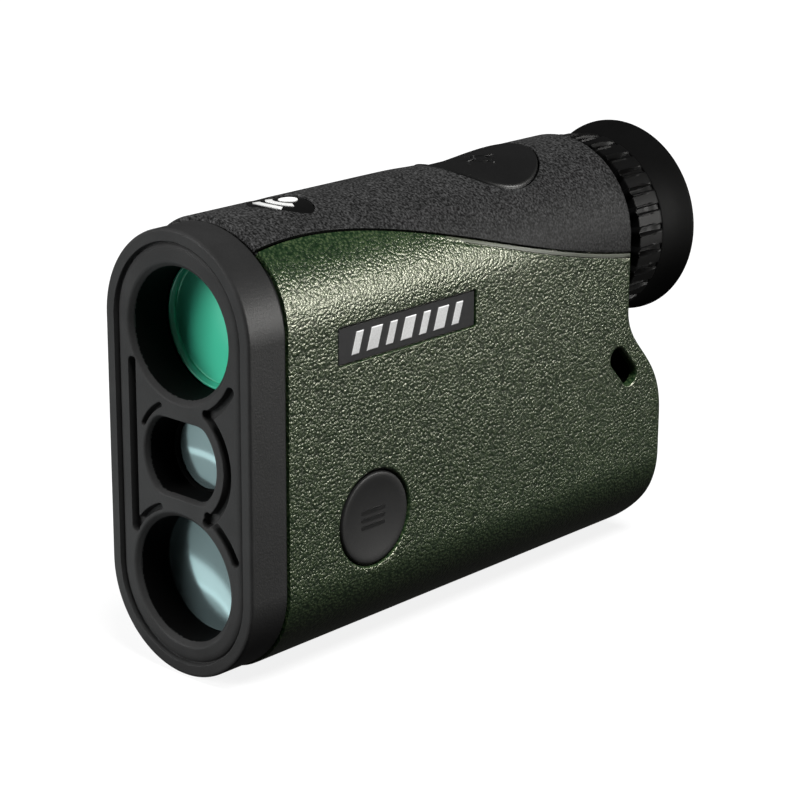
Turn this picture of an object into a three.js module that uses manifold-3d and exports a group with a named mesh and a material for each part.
// Handheld laser rangefinder: a slim upright housing with three windows at the front, a monocular
// eyepiece at the back, a measure button on top and a menu button on the left side.
// Millimetres, +Z up, the front looks along -Y, the user's left side is +X. The origin is the centre
// of the bounding box's underside. Every named mesh is one separate physical piece.
import * as THREE from "three";
import { mergeVertices } from "three/addons/utils/BufferGeometryUtils.js";
import Module from "manifold-3d";

const wasm = await Module();
wasm.setup();

// ---------------------------------------------------------------- driving dimensions
const LENGTH = 106.4; // front rim to eyecup rim
const FRONT = -LENGTH / 2; // front face of the bezel rim
const REAR = LENGTH / 2; // rim of the eyecup

const BODY = { halfWidth: 15.7, bottom: 0, top: 71.6 }; // full-round top and underside
const BEZEL = { halfWidth: 15.5, bottom: 0.4, top: 70.8 }; // outline of the bezel's front rim
const WALL = 1.8; // shell and cover thickness
const GAP = 0.3; // between fixed neighbours
const SEAM_Y = FRONT + 7.4; // where the bezel meets the shells
const BACK_Y = 37.2; // back of the housing behind the eyepiece
const TAIL_Y = 47.1; // back of the housing around the battery
const TAIL_RADIUS = 10; // lower rear corner, seen from the side

const OPTIC_Z = 54.8; // sighting axis: objective, prisms and eyepiece
const EMITTER_Z = 35.1; // laser axis
const RECEIVER_Z = 15.8; // receiving axis
const OBJECTIVE_R = 10.3; // clear radius of each front opening
const EMITTER_R = 7.4;
const EMITTER_FLAT = 5.9; // half height between the emitter opening's two flats
const RECEIVER_R = 9.9;

const BATTERY = { radius: 7.8, length: 27, y: 13.5, z: 15.7 }; // CR2 cell, y of its front end
const BUTTON_TRAVEL = 0.7;
const MEASURE = { y: 15, halfLength: 11, halfWidth: 10.2, lean: 1.2 };
const MENU = { y: -26.5, z: 22.8, radius: 7.8 };
const LANYARD = { y: 35.9, z: 33.6, length: 8.5, width: 3.7, tilt: THREE.MathUtils.degToRad(-46.7) };
const NAMEPLATE = { y0: -34.7, y1: -3.3, z0: 48.9, z1: 55, depth: 0.6 };
const BADGE = { tip: -37.6, end: -26.8, halfWidth: 6, depth: 0.5 };
const DIOPTER_RIBS = 28;

const ROUND = 32; // segments round a large outer circle
const INNER = 24; // segments round an inner circle
const TINY = 12; // segments round a screw

// ---------------------------------------------------------------- solids
// A closed manifold-3d solid from a three.js geometry, with its faces turned outwards.
function solid(geometry) {
  const g = geometry.index ? geometry.toNonIndexed() : geometry.clone();
  g.deleteAttribute("normal");
  g.deleteAttribute("uv");
  const merged = mergeVertices(g, 1e-4);
  const corners = [];
  for (let i = 0; i < merged.index.count; i += 3) {
    const [a, b, c] = [0, 1, 2].map((k) => merged.index.getX(i + k));
    if (a !== b && b !== c && c !== a) corners.push(a, b, c);
  }
  const make = (triVerts) =>
    new wasm.Manifold(
      new wasm.Mesh({
        numProp: 3,
        vertProperties: merged.attributes.position.array,
        triVerts: new Uint32Array(triVerts),
      }),
    );
  const made = make(corners);
  return made.volume() > 0 ? made : make(corners.reverse());
}

function geometryOf(shape) {
  const mesh = shape.getMesh();
  const g = new THREE.BufferGeometry();
  g.setAttribute("position", new THREE.BufferAttribute(mesh.vertProperties, mesh.numProp));
  g.setIndex(new THREE.BufferAttribute(mesh.triVerts, 1));
  const flat = g.toNonIndexed();
  flat.computeVertexNormals();
  return flat;
}

const extrude = (points, depth) =>
  new THREE.ExtrudeGeometry(new THREE.Shape(points), { depth, bevelEnabled: false });

// Prisms of an outline: (x, z) points along Y, (y, z) points along X, (x, y) points along Z.
const prismY = (points, y0, y1) =>
  solid(extrude(points, y1 - y0).rotateX(Math.PI / 2).translate(0, y1, 0));
const SIDE_VIEW = new THREE.Matrix4().makeBasis(
  new THREE.Vector3(0, 1, 0),
  new THREE.Vector3(0, 0, 1),
  new THREE.Vector3(1, 0, 0),
);
const prismX = (points, x0, x1) =>
  solid(extrude(points, x1 - x0).applyMatrix4(SIDE_VIEW).translate(x0, 0, 0));
const prismZ = (points, z0, z1) => solid(extrude(points, z1 - z0).translate(0, 0, z0));

const block = (x0, x1, y0, y1, z0, z1) =>
  solid(
    new THREE.BoxGeometry(x1 - x0, y1 - y0, z1 - z0).translate(
      (x0 + x1) / 2,
      (y0 + y1) / 2,
      (z0 + z1) / 2,
    ),
  );

// A turned part about an axis along Y. The profile is [radius, y] pairs; one that doesn't start and
// end on the axis is closed on itself.
function turned(profile, { x = 0, z = OPTIC_Z, segments = INNER } = {}) {
  const points = profile.map(([r, y]) => new THREE.Vector2(r, y));
  if (profile[0][0] > 0) points.push(points[0].clone());
  return solid(new THREE.LatheGeometry(points, segments).translate(x, 0, z));
}
const rod = (r, y0, y1, at) => turned([[0, y0], [r, y0], [r, y1], [0, y1]], at);
const sleeve = (outer, inner, y0, y1, at) =>
  turned([[inner, y0], [outer, y0], [outer, y1], [inner, y1]], at);

// A round part with its axis along X.
const rodX = (r, x0, x1, y, z, segments = INNER) =>
  solid(
    new THREE.CylinderGeometry(r, r, x1 - x0, segments)
      .rotateZ(Math.PI / 2)
      .translate((x0 + x1) / 2, y, z),
  );

// ---------------------------------------------------------------- outlines
const vec = (a, b) => new THREE.Vector2(a, b);

// Upright outline with a full-round top and underside, drawn in by inset.
function stadium({ halfWidth, bottom, top }, inset = 0, steps = 16) {
  const r = halfWidth - inset;
  const arc = (z, start) =>
    Array.from({ length: steps + 1 }, (_, i) => {
      const a = start + (Math.PI * i) / steps;
      return vec(r * Math.cos(a), z + r * Math.sin(a));
    });
  return [...arc(top - halfWidth, 0), ...arc(bottom + halfWidth, Math.PI)];
}

function ellipse(cx, cy, rx, ry, segments = ROUND) {
  return Array.from({ length: segments }, (_, i) => {
    const a = (2 * Math.PI * i) / segments;
    return vec(cx + rx * Math.cos(a), cy + ry * Math.sin(a));
  });
}

// A slot with round ends, length overall, centred at (cx, cy).
function slotOutline(cx, cy, length, width, tilt, steps = 8) {
  const r = width / 2;
  const half = length / 2 - r;
  const end = (side) =>
    Array.from({ length: steps + 1 }, (_, i) => {
      const a = tilt - (side * Math.PI) / 2 + (Math.PI * i) / steps;
      return vec(
        cx + side * half * Math.cos(tilt) + r * Math.cos(a),
        cy + side * half * Math.sin(tilt) + r * Math.sin(a),
      );
    });
  return [...end(1), ...end(-1)];
}

// Outline of the housing seen from the left side, as (y, z): square at the front, an S-shaped step
// under the eyepiece and a round lower rear corner.
function sideOutline(front, inset = 0) {
  const radius = TAIL_RADIUS - inset;
  const tail = TAIL_Y - inset;
  const back = BACK_Y - inset;
  const low = BODY.bottom + inset;
  const high = BODY.top - inset;
  const corner = Array.from({ length: 9 }, (_, i) => {
    const a = -Math.PI / 2 + (Math.PI / 2) * (i / 8);
    return vec(tail - radius + radius * Math.cos(a), low + radius + radius * Math.sin(a));
  });
  const step = new THREE.CubicBezierCurve(
    vec(tail, 23 - inset / 2),
    vec(tail, 34.3 - inset / 2),
    vec(back, 36 - inset / 2),
    vec(back, 43.5 - inset / 2),
  ).getPoints(12);
  return [vec(front, low), ...corner, ...step, vec(back, high), vec(front, high)];
}

// The parting line between the top cover and the side shells, as (y, z).
const PARTING = new THREE.CubicBezierCurve(
  vec(-46, 68),
  vec(-17.3, 71),
  vec(4.7, 58.2),
  vec(BACK_Y, 53.5),
);
// Everything above the parting line, raised by lift.
function aboveParting(lift) {
  const line = PARTING.getPoints(28).map((p) => vec(p.x, p.y + lift));
  return prismX(
    [vec(-60, line[0].y), ...line, vec(60, line.at(-1).y), vec(60, 90), vec(-60, 90)],
    -30,
    30,
  );
}

// ---------------------------------------------------------------- scene graph
const rangefinder = new THREE.Group();

const finish = (color, roughness, metalness = 0) =>
  new THREE.MeshStandardMaterial({ color, roughness, metalness });
const FINISH = {
  green: finish(0x39422f, 0.55),
  cover: finish(0x2b2b2d, 0.75),
  black: finish(0x242425, 0.5),
  rubber: finish(0x1a1a1b, 0.6),
  inner: finish(0x18181a, 0.8),
  coatedGlass: finish(0x2fb08a, 0.05),
  glass: finish(0xbcd6d6, 0.05),
  metal: finish(0xb4b6ba, 0.3, 1),
  brass: finish(0xc0a060, 0.35, 1),
  board: finish(0x1f5a34, 0.5),
  chip: finish(0x121214, 0.4),
  battery: finish(0x8a8d92, 0.35, 0.8),
  plate: finish(0x1d1d1f, 0.35),
  flex: finish(0xa86a24, 0.4),
};

function add(name, shape, material) {
  const mesh = new THREE.Mesh(geometryOf(shape), material);
  mesh.name = name;
  rangefinder.add(mesh);
  return shape;
}

// ---------------------------------------------------------------- housing
const frontEdge = SEAM_Y + 0.7;
const outerBody = prismY(stadium(BODY), frontEdge, TAIL_Y + 1).intersect(
  prismX(sideOutline(frontEdge), -20, 20),
);
const innerBody = prismY(stadium(BODY, WALL), frontEdge - 1, TAIL_Y).intersect(
  prismX(sideOutline(frontEdge - 1, WALL), -20, 20),
);
const eyepieceHole = rod(13.9, BACK_Y - WALL - 1, BACK_Y + 1, { segments: ROUND });
const batteryHole = rod(10.3, TAIL_Y - WALL - 1, TAIL_Y + 1, { z: BATTERY.z, segments: ROUND });
const lanyardHole = prismX(
  slotOutline(LANYARD.y, LANYARD.z, LANYARD.length, LANYARD.width, LANYARD.tilt),
  -20,
  20,
);
const housingWall = outerBody
  .subtract(innerBody)
  .subtract(eyepieceHole)
  .subtract(batteryHole)
  .subtract(lanyardHole);

const sideWalls = housingWall.subtract(aboveParting(-GAP / 2));
const menuHole = rodX(MENU.radius, 8, 20, MENU.y, MENU.z, ROUND);
const nameplateOutline = (inset) =>
  [
    [NAMEPLATE.y0 + inset, NAMEPLATE.z0 + inset],
    [NAMEPLATE.y1 - inset, NAMEPLATE.z0 + inset],
    [NAMEPLATE.y1 - inset, NAMEPLATE.z1 - inset],
    [NAMEPLATE.y0 + inset, NAMEPLATE.z1 - inset],
  ].map(([y, z]) => vec(y, z));
const plateFloor = BODY.halfWidth - NAMEPLATE.depth;
add(
  "left_shell",
  sideWalls
    .intersect(block(GAP / 2, 20, -60, 60, -5, 80))
    .subtract(menuHole)
    .subtract(prismX(nameplateOutline(0), plateFloor, 20)),
  FINISH.green,
);
add(
  "right_shell",
  sideWalls.intersect(block(-20, -GAP / 2, -60, 60, -5, 80)),
  FINISH.green,
);
add(
  "nameplate",
  prismX(nameplateOutline(0.2), plateFloor + 0.1, BODY.halfWidth - 0.15),
  FINISH.plate,
);

// Teardrop badge on top: a round back end that narrows to a tip at the front, as (x, y).
function teardrop(inset) {
  const r = BADGE.halfWidth - inset;
  const centre = BADGE.end - BADGE.halfWidth + 2;
  const squash = (BADGE.end - centre - inset) / r;
  const rear = Array.from({ length: 17 }, (_, i) => {
    const a = (Math.PI * i) / 16;
    return vec(r * Math.cos(a), centre + r * squash * Math.sin(a));
  });
  const side = new THREE.QuadraticBezierCurve(
    vec(-r, centre),
    vec(-r * 0.75, centre - 4),
    vec(0, BADGE.tip + inset * 1.4),
  ).getPoints(6);
  const mirrored = side.slice(0, -1).reverse().map((p) => vec(-p.x, p.y));
  return [...rear, ...side.slice(1), ...mirrored.slice(0, -1)];
}
// Outline of the measure button, as (x, y): an ellipse whose widest part sits a little forward.
const egg = (grow) =>
  Array.from({ length: ROUND }, (_, i) => {
    const a = (2 * Math.PI * i) / ROUND;
    const lean = MEASURE.lean * Math.cos(a) ** 2;
    return vec(
      (MEASURE.halfWidth + grow) * Math.cos(a),
      MEASURE.y - lean + (MEASURE.halfLength + grow) * Math.sin(a),
    );
  });
const crown = BODY.top - BODY.halfWidth; // height of the rounded top's axis
const crownRod = (r) => rod(r, -60, 60, { z: crown, segments: ROUND });
add(
  "top_cover",
  housingWall
    .intersect(aboveParting(GAP / 2))
    .subtract(prismZ(egg(0), 60, 80))
    .subtract(prismZ(teardrop(0), 65, 80).subtract(crownRod(BODY.halfWidth - BADGE.depth))),
  FINISH.cover,
);
add(
  "badge",
  prismZ(teardrop(0.2), 65, 80)
    .intersect(crownRod(BODY.halfWidth - 0.1))
    .subtract(crownRod(BODY.halfWidth - BADGE.depth + 0.1)),
  FINISH.plate,
);

// ---------------------------------------------------------------- front bezel
const RIM = 2.2; // width of the flat front rim
const PANEL_Y = FRONT + 1.1; // recessed face around the three openings
const HOOD_END = FRONT + 8; // back end of the three hoods
const emitterOutline = (grow) =>
  ellipse(0, EMITTER_Z, EMITTER_R + grow, EMITTER_R + grow).map((p) =>
    vec(
      p.x,
      THREE.MathUtils.clamp(p.y, EMITTER_Z - EMITTER_FLAT - grow, EMITTER_Z + EMITTER_FLAT + grow),
    ),
  );
const SCREW_SPOTS = [
  [11.2, 44.9],
  [-11.2, 44.9],
  [11.2, 25.4],
  [-11.2, 25.4],
];
const hood = (r, z) => rod(r + 1.2, PANEL_Y + 1, HOOD_END, { z, segments: ROUND });
const bore = (r, z) =>
  turned([[0, FRONT - 1], [r + 1.4, PANEL_Y], [r, PANEL_Y + 1.2], [r, 0], [0, 0]], {
    z,
    segments: ROUND,
  });
const bezelWall = prismY(stadium(BEZEL), FRONT, SEAM_Y)
  .subtract(prismY(stadium(BEZEL, RIM), FRONT - 1, PANEL_Y))
  .subtract(prismY(stadium(BEZEL, RIM), PANEL_Y + 2, SEAM_Y + 1));
add(
  "front_bezel",
  SCREW_SPOTS.reduce(
    (shape, [x, z]) => shape.add(rod(2, PANEL_Y + 1, HOOD_END, { x, z, segments: TINY })),
    bezelWall
      .add(hood(OBJECTIVE_R, OPTIC_Z))
      .add(prismY(emitterOutline(1.2), PANEL_Y + 1, HOOD_END))
      .add(hood(RECEIVER_R, RECEIVER_Z)),
  )
    .subtract(bore(OBJECTIVE_R, OPTIC_Z))
    .subtract(bore(RECEIVER_R, RECEIVER_Z))
    .subtract(prismY(emitterOutline(0), FRONT - 1, 0))
    .subtract(
      SCREW_SPOTS.map(([x, z]) => rod(1, FRONT + 3.4, 0, { x, z, segments: TINY })).reduce((a, b) =>
        a.add(b),
      ),
    ),
  FINISH.black,
);
add(
  "bezel_gasket",
  prismY(stadium(BODY, 0.7), SEAM_Y + 0.1, SEAM_Y + 0.6).subtract(
    prismY(stadium(BODY, 1.9), SEAM_Y, SEAM_Y + 1),
  ),
  FINISH.rubber,
);

// ---------------------------------------------------------------- optical chassis
const PLATE_Y = HOOD_END + 0.3; // front face of the chassis plate
const BARREL_END = -10; // back of the objective barrel, front of the prism box
const PRISM_END = 14;
const SEAT_Y = PLATE_Y + 5.4; // shoulder that the lenses rest against
const barrels = [
  { z: OPTIC_Z, bore: 10.8, end: BARREL_END },
  { z: EMITTER_Z, bore: 7.4, end: -27 },
  { z: RECEIVER_Z, bore: 10.6, end: -24 },
];
// A barrel that seats its lens at the front, then narrows behind a shoulder.
const barrelShell = ({ z, bore: r, end }) =>
  turned(
    [
      [0, PLATE_Y],
      [r + 1.1, PLATE_Y],
      [r + 1.1, SEAT_Y + 1],
      [r - 0.4, SEAT_Y + 1.6],
      [r - 0.4, end],
      [0, end],
    ],
    { z },
  );
const barrelBore = ({ z, bore: r, end }) =>
  turned(
    [
      [0, PLATE_Y - 1],
      [r, PLATE_Y - 1],
      [r, SEAT_Y],
      [r - 1.4, SEAT_Y],
      [r - 3, end + 1.6],
      [0, end + 1.6],
    ],
    { z },
  );
const PRISM = { halfWidth: 7, halfHeight: 7.2, wall: 1.3 };
const cradleX = PRISM.halfWidth + 0.5;
const prismBox = block(
  -cradleX - PRISM.wall,
  cradleX + PRISM.wall,
  BARREL_END - 1,
  PRISM_END,
  OPTIC_Z - PRISM.halfHeight - 0.4 - PRISM.wall,
  OPTIC_Z + PRISM.halfHeight + 0.8,
).subtract(
  block(
    -cradleX,
    cradleX,
    BARREL_END + 0.6,
    PRISM_END - PRISM.wall,
    OPTIC_Z - PRISM.halfHeight - 0.4,
    OPTIC_Z + 12,
  ),
);
const windowThrough = (r, y0, y1, z) => rod(r, y0, y1, { z });
let chassis = prismY(stadium(BODY, WALL + 0.4), PLATE_Y, PLATE_Y + 2);
for (const barrel of barrels) chassis = chassis.add(barrelShell(barrel));
chassis = chassis.add(prismBox).add(block(-1, 1, PLATE_Y, -24, RECEIVER_Z, OPTIC_Z));
for (const barrel of barrels) chassis = chassis.subtract(barrelBore(barrel));
chassis = chassis
  .subtract(windowThrough(6.4, PRISM_END - 3, PRISM_END + 1, OPTIC_Z))
  .subtract(windowThrough(3.4, -29, -20, EMITTER_Z))
  .subtract(windowThrough(3.9, -26, -20, RECEIVER_Z));
for (const [x, z] of SCREW_SPOTS) {
  chassis = chassis.subtract(rod(1, PLATE_Y - 1, PLATE_Y + 3, { x, z, segments: TINY }));
}
add("optical_chassis", chassis, FINISH.inner);

// Biconvex lens with a cylindrical edge from y0 to y1 and each face bulging by its sag.
function lens(r, y0, y1, frontSag, backSag, z) {
  const steps = 2;
  const face = (y, sag) =>
    Array.from({ length: steps }, (_, i) => [(r * i) / steps, y - sag * (1 - (i / steps) ** 2)]);
  const front = [...face(y0, frontSag), [r, y0]];
  const back = [[r, y1], ...face(y1, -backSag).reverse()];
  return turned([...front, ...back], { z });
}
const lockRing = (outer, y0, z) => sleeve(outer, outer - 0.9, y0, y0 + 0.7, { z });
add("objective_lock_ring", lockRing(10.6, PLATE_Y + 0.1, OPTIC_Z), FINISH.inner);
add(
  "objective_front_lens",
  lens(10.5, PLATE_Y + 1.2, PLATE_Y + 2.7, 0.9, 0.5, OPTIC_Z),
  FINISH.coatedGlass,
);
add("objective_spacer", sleeve(10.5, 9.7, PLATE_Y + 3, PLATE_Y + 3.6), FINISH.inner);
add(
  "objective_rear_lens",
  lens(10.5, PLATE_Y + 3.8, PLATE_Y + 5.2, -0.3, -0.4, OPTIC_Z),
  FINISH.glass,
);
add("emitter_lock_ring", lockRing(7.1, PLATE_Y + 0.1, EMITTER_Z), FINISH.inner);
add("emitter_lens", lens(7.1, PLATE_Y + 1.2, PLATE_Y + 3, 0.7, 0.3, EMITTER_Z), FINISH.glass);
add("receiver_lock_ring", lockRing(10.4, PLATE_Y + 0.1, RECEIVER_Z), FINISH.inner);
add("receiver_lens", lens(10.4, PLATE_Y + 1.2, PLATE_Y + 3.4, 0.9, 0.5, RECEIVER_Z), FINISH.glass);

SCREW_SPOTS.forEach(([x, z], i) =>
  add(
    `bezel_screw_${i + 1}`,
    turned(
      [
        [0, FRONT + 4],
        [0.75, FRONT + 4],
        [0.75, PLATE_Y + 2.2],
        [1.6, PLATE_Y + 2.2],
        [1.6, PLATE_Y + 3.2],
        [0, PLATE_Y + 3.2],
      ],
      { x, z, segments: TINY },
    ),
    FINISH.metal,
  ),
);

// Laser and receiver diodes in their cans, flange forwards, on a board across the housing.
const diode = (r, y, z) =>
  turned(
    [
      [0, y],
      [r * 0.8, y],
      [r * 0.8, y + 2.6],
      [r, y + 2.6],
      [r, y + 4],
      [0, y + 4],
    ],
    { z },
  );
const SENSOR_BOARD = { halfWidth: 7.5, y: -18, thick: 1, bottom: 9, top: 42 };
const DIODE_Y = SENSOR_BOARD.y - 4.2; // front of both cans, whose flanges stop short of the board
add("laser_diode", diode(3.6, DIODE_Y, EMITTER_Z), FINISH.brass);
add("receiver_diode", diode(4.2, DIODE_Y, RECEIVER_Z), FINISH.metal);
add(
  "sensor_board",
  block(
    -SENSOR_BOARD.halfWidth,
    SENSOR_BOARD.halfWidth,
    SENSOR_BOARD.y,
    SENSOR_BOARD.y + SENSOR_BOARD.thick,
    SENSOR_BOARD.bottom,
    SENSOR_BOARD.top,
  ),
  FINISH.board,
);

// Schmidt-Pechan erecting pair: a half-penta prism, an air gap, then a roof prism.
const prismOutline = (points) => points.map(([y, z]) => vec(y, OPTIC_Z + z));
add(
  "half_prism",
  prismX(
    prismOutline([
      [-9, -PRISM.halfHeight],
      [-1.5, -PRISM.halfHeight],
      [4.2, -1.5],
      [-2.6, PRISM.halfHeight],
      [-9, PRISM.halfHeight],
    ]),
    -PRISM.halfWidth,
    PRISM.halfWidth,
  ),
  FINISH.glass,
);
const roof = new THREE.Shape([
  vec(-PRISM.halfWidth, -PRISM.halfHeight - 1),
  vec(PRISM.halfWidth, -PRISM.halfHeight - 1),
  vec(PRISM.halfWidth, 1.6),
  vec(0, PRISM.halfHeight),
  vec(-PRISM.halfWidth, 1.6),
]).getPoints();
add(
  "roof_prism",
  prismX(
    prismOutline([
      [-1.2, PRISM.halfHeight],
      [5, -0.8],
      [12.3, -PRISM.halfHeight],
      [12.3, PRISM.halfHeight],
    ]),
    -PRISM.halfWidth,
    PRISM.halfWidth,
  ).intersect(prismY(roof.map((p) => vec(p.x, p.y + OPTIC_Z)), -3, 13)),
  FINISH.glass,
);
const clipZ = PRISM.halfHeight + 0.3;
add(
  "prism_clip",
  prismX(
    prismOutline([[-9, clipZ], [12.3, clipZ], [12.3, clipZ + 0.5], [-9, clipZ + 0.5]]),
    -5.5,
    5.5,
  ),
  FINISH.metal,
);
add("display_glass", block(-7, 7, 14.3, 15.5, OPTIC_Z - 7, OPTIC_Z + 7), FINISH.glass);
add("field_stop", sleeve(9.4, 6.6, 15.8, 17), FINISH.inner);

// ---------------------------------------------------------------- electronics
// The main board stands along the left wall, with its processor on the inner face.
const MAIN_BOARD = { x: 11.3, thick: 0.8, y0: -34, y1: 30, bottom: 10, top: 44 };
add(
  "main_board",
  block(
    MAIN_BOARD.x,
    MAIN_BOARD.x + MAIN_BOARD.thick,
    MAIN_BOARD.y0,
    MAIN_BOARD.y1,
    MAIN_BOARD.bottom,
    MAIN_BOARD.top,
  ),
  FINISH.board,
);
add("processor_chip", block(MAIN_BOARD.x - 1.4, MAIN_BOARD.x - 0.1, -8, 2, 28, 38), FINISH.chip);

// The flex cable steps from the end of the sensor board to the main board, as (x, y).
const FLEX_THICK = 0.2;
const flexX0 = SENSOR_BOARD.halfWidth + 0.2;
const flexX1 = MAIN_BOARD.x - 0.3;
const flexY0 = SENSOR_BOARD.y + 0.4;
const flexY1 = -11;
const FLEX_BEND_X = 9.6;
const flexOutline = [
  vec(flexX0, flexY0),
  vec(FLEX_BEND_X, flexY0),
  vec(FLEX_BEND_X, flexY1),
  vec(flexX1, flexY1),
  vec(flexX1, flexY1 + FLEX_THICK),
  vec(FLEX_BEND_X - FLEX_THICK, flexY1 + FLEX_THICK),
  vec(FLEX_BEND_X - FLEX_THICK, flexY0 + FLEX_THICK),
  vec(flexX0, flexY0 + FLEX_THICK),
];
add("flex_cable", prismZ(flexOutline, 22, 30), FINISH.flex);

const TOP_BOARD = { z: 65, thick: 0.8 };
const SWITCH_Y = 12; // under the middle of the measure button
const SWITCH_HALF = 2.6;
const MENU_SWITCH_HALF = 2.4;
add(
  "top_board",
  block(-6.4, 6.4, 4, 17.4, TOP_BOARD.z, TOP_BOARD.z + TOP_BOARD.thick),
  FINISH.board,
);
add(
  "measure_switch",
  block(
    -SWITCH_HALF,
    SWITCH_HALF,
    SWITCH_Y - SWITCH_HALF,
    SWITCH_Y + SWITCH_HALF,
    TOP_BOARD.z + 0.95,
    TOP_BOARD.z + 2.1,
  ),
  FINISH.chip,
);
add(
  "menu_switch",
  block(
    MAIN_BOARD.x + 0.95,
    MAIN_BOARD.x + 1.4,
    MENU.y - MENU_SWITCH_HALF,
    MENU.y + MENU_SWITCH_HALF,
    MENU.z - MENU_SWITCH_HALF,
    MENU.z + MENU_SWITCH_HALF,
  ),
  FINISH.chip,
);

// ---------------------------------------------------------------- buttons and their seals
const CAP_CLEARANCE = 0.35;
const KEY_FLOOR_R = 14.4; // underside of the measure button, about the crown's axis
const SEAL = { outer: 13.3, inner: 12.7 }; // the seal under it, about the same axis
add(
  "measure_button",
  prismZ(egg(-CAP_CLEARANCE), 60, 80)
    .intersect(crownRod(BODY.halfWidth - 0.05))
    .subtract(crownRod(KEY_FLOOR_R)),
  FINISH.rubber,
);
add(
  "measure_seal",
  prismZ(egg(1), 58, 80)
    .intersect(crownRod(SEAL.outer))
    .subtract(crownRod(SEAL.inner))
    .add(
      solid(
        new THREE.CylinderGeometry(1.5, 1.5, 1.7, INNER)
          .rotateX(Math.PI / 2)
          .translate(0, SWITCH_Y, 68.2),
      ),
    ),
  FINISH.rubber,
);
const MENU_CAP = { floor: 14.3, edge: 15.6, crown: 16.15 }; // x of its underside, edge and middle
const menuCapR = MENU.radius - CAP_CLEARANCE;
add(
  "menu_button",
  solid(
    new THREE.LatheGeometry(
      [
        vec(0, MENU_CAP.floor),
        vec(menuCapR, MENU_CAP.floor),
        vec(menuCapR, MENU_CAP.edge),
        vec(menuCapR - 0.5, MENU_CAP.edge + 0.4),
        vec(MENU.radius * 0.5, MENU_CAP.crown - 0.05),
        vec(0, MENU_CAP.crown),
      ],
      ROUND,
    )
      .rotateZ(-Math.PI / 2)
      .translate(0, MENU.y, MENU.z),
  ),
  FINISH.rubber,
);
add("menu_seal", rodX(9, 13, 13.5, MENU.y, MENU.z, ROUND), FINISH.rubber);

// ---------------------------------------------------------------- eyepiece
const TUBE = { inner: 10.6, outer: 11.6, flange: 12.6, y0: 18, y1: 47.6 }; // fixed eyepiece tube
const DIOPTER_FRONT = BACK_Y + 1.1;
const DIOPTER_BACK = 45.9;
add(
  "eyepiece_tube",
  turned([
    [TUBE.inner, TUBE.y0],
    [TUBE.flange, TUBE.y0],
    [TUBE.flange, TUBE.y0 + 1.6],
    [TUBE.outer, TUBE.y0 + 1.6],
    [TUBE.outer, TUBE.y1],
    [TUBE.inner, TUBE.y1],
  ]),
  FINISH.inner,
);
add(
  "rear_flange",
  sleeve(13.6, 11.9, BACK_Y - 2.1, BACK_Y - 0.3, { segments: ROUND }),
  FINISH.inner,
);

// The knurled ring: a smooth collar with raised ribs between shallow scoops.
const collar = turned(
  [
    [11.9, DIOPTER_FRONT],
    [14.1, DIOPTER_FRONT],
    [14.1, DIOPTER_FRONT + 1.2],
    [14.8, DIOPTER_FRONT + 1.6],
    [14.8, DIOPTER_BACK],
    [13.7, DIOPTER_BACK],
    [13.7, DIOPTER_FRONT + 1.2],
    [11.9, DIOPTER_FRONT + 1.2],
  ],
  { segments: 2 * DIOPTER_RIBS },
);
let diopterRing = collar;
for (let i = 0; i < DIOPTER_RIBS; i += 1) {
  const a = (2 * Math.PI * i) / DIOPTER_RIBS;
  diopterRing = diopterRing.add(
    solid(
      new THREE.BoxGeometry(1.6, DIOPTER_BACK - DIOPTER_FRONT - 2.4, 1.4)
        .translate(0, (DIOPTER_BACK + DIOPTER_FRONT + 1.6) / 2, 14.8)
        .rotateY(a)
        .translate(0, 0, OPTIC_Z),
    ),
  );
}
add("diopter_ring", diopterRing, FINISH.rubber);

// The ocular cell slides in the tube; a step inside it separates its two lenses.
const CELL = { outer: 10.4, seat: 9.2, throat: 8.2, y0: 24, y1: 45.4, step0: 29.4, step1: 41.6 };
add(
  "ocular_cell",
  turned([
    [CELL.seat, CELL.y0],
    [CELL.outer, CELL.y0],
    [CELL.outer, CELL.y1],
    [CELL.seat, CELL.y1],
    [CELL.seat, CELL.step1],
    [CELL.throat, CELL.step1],
    [CELL.throat, CELL.step0],
    [CELL.seat, CELL.step0],
  ]),
  FINISH.inner,
);
const OCULAR_R = CELL.seat - 0.2;
add("field_lens", lens(OCULAR_R, 25, 27.6, 0.4, 1.2, OPTIC_Z), FINISH.glass);
add("eye_lens", lens(OCULAR_R, 41.9, 43.9, 0.9, 0.6, OPTIC_Z), FINISH.coatedGlass);
add("ocular_lock_ring", sleeve(OCULAR_R, 8.3, 44.6, 45.3), FINISH.inner);

add("eyecup_guide_ring", sleeve(12.4, 11.85, 40.2, 47), FINISH.brass);
add("eyecup_sleeve", sleeve(13.4, 12.65, 39.9, 51.6), FINISH.inner);
add(
  "eyecup",
  turned(
    [
      [13.65, DIOPTER_BACK + 0.4],
      [15.1, DIOPTER_BACK + 0.4],
      [15.3, 48.4],
      [16, 50.8],
      [16.9, 52.6],
      [16.9, REAR],
      [16.1, REAR],
      [15, 51.9],
      [13.65, 51.9],
    ],
    { segments: ROUND },
  ),
  FINISH.rubber,
);

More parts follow.
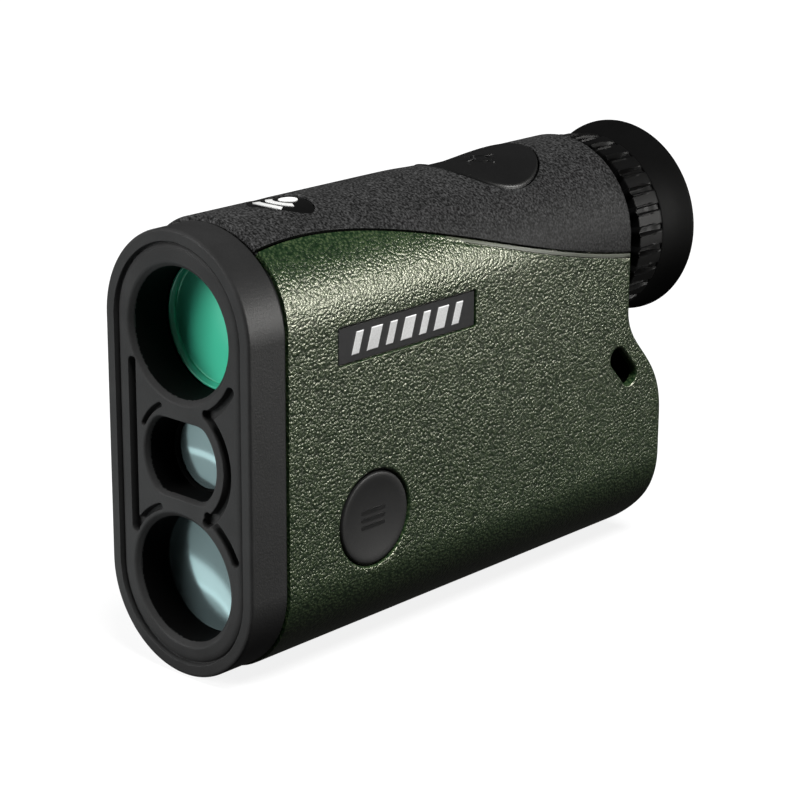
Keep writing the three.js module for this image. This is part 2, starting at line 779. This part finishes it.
// ---------------------------------------------------------------- battery bay
const bay = { z: BATTERY.z };
add(
  "battery_tube",
  turned(
    [
      [0, BATTERY.y - 3],
      [9.4, BATTERY.y - 3],
      [9.4, 37.2],
      [12.6, 37.2],
      [12.6, 38.4],
      [9.4, 38.4],
      [9.4, TAIL_Y - WALL - 0.3],
      [8.2, TAIL_Y - WALL - 0.3],
      [8.2, BATTERY.y - 1.8],
      [0, BATTERY.y - 1.8],
    ],
    bay,
  ),
  FINISH.inner,
);
const cellEnd = BATTERY.y + BATTERY.length;
add(
  "battery",
  turned(
    [
      [0, BATTERY.y],
      [BATTERY.radius, BATTERY.y],
      [BATTERY.radius, cellEnd - 1],
      [2.8, cellEnd - 1],
      [2.8, cellEnd],
      [0, cellEnd],
    ],
    bay,
  ),
  FINISH.battery,
);
class Coil extends THREE.Curve {
  getPoint(t) {
    const a = 2 * Math.PI * 2.5 * t;
    const r = 5 - 2 * t;
    return new THREE.Vector3(
      r * Math.cos(a),
      BATTERY.y - 1.45 + 1.05 * t,
      BATTERY.z + r * Math.sin(a),
    );
  }
}
add(
  "battery_spring",
  solid(
    new THREE.ExtrudeGeometry(new THREE.Shape(ellipse(0, 0, 0.2, 0.2, 6)), {
      steps: 30,
      extrudePath: new Coil(),
    }),
  ),
  FINISH.metal,
);
add(
  "cap_contact",
  turned(
    [
      [0, cellEnd + 0.2],
      [5, cellEnd + 0.2],
      [5, cellEnd + 0.7],
      [1.4, cellEnd + 0.7],
      [1.4, cellEnd + 1.5],
      [0, cellEnd + 1.5],
    ],
    bay,
  ),
  FINISH.brass,
);
const coinSlot = block(-6, 6, TAIL_Y - 0.3, TAIL_Y + 3, BATTERY.z - 0.9, BATTERY.z + 0.9);
add(
  "battery_cap",
  turned(
    [
      [0, cellEnd + 1.8],
      [7.8, cellEnd + 1.8],
      [7.8, cellEnd + 2.9],
      [7.1, cellEnd + 2.9],
      [7.1, cellEnd + 4.1],
      [7.8, cellEnd + 4.1],
      [7.8, TAIL_Y - WALL],
      [9.9, TAIL_Y - WALL],
      [9.9, TAIL_Y + 0.2],
      [9.2, TAIL_Y + 0.9],
      [0, TAIL_Y + 0.9],
    ],
    { z: BATTERY.z, segments: ROUND },
  ).subtract(coinSlot),
  FINISH.black,
);
add("cap_o_ring", sleeve(8, 7.25, cellEnd + 3.05, cellEnd + 3.95, bay), FINISH.rubber);

// ---------------------------------------------------------------- lanyard tunnel
const tunnel = (grow, reach) =>
  prismX(
    slotOutline(
      LANYARD.y,
      LANYARD.z,
      LANYARD.length + 2 * grow,
      LANYARD.width + 2 * grow,
      LANYARD.tilt,
    ),
    -reach,
    reach,
  );
add(
  "lanyard_tunnel",
  tunnel(1, BODY.halfWidth - WALL - 0.3).subtract(tunnel(0, 20)),
  FINISH.inner,
);

export default rangefinder;
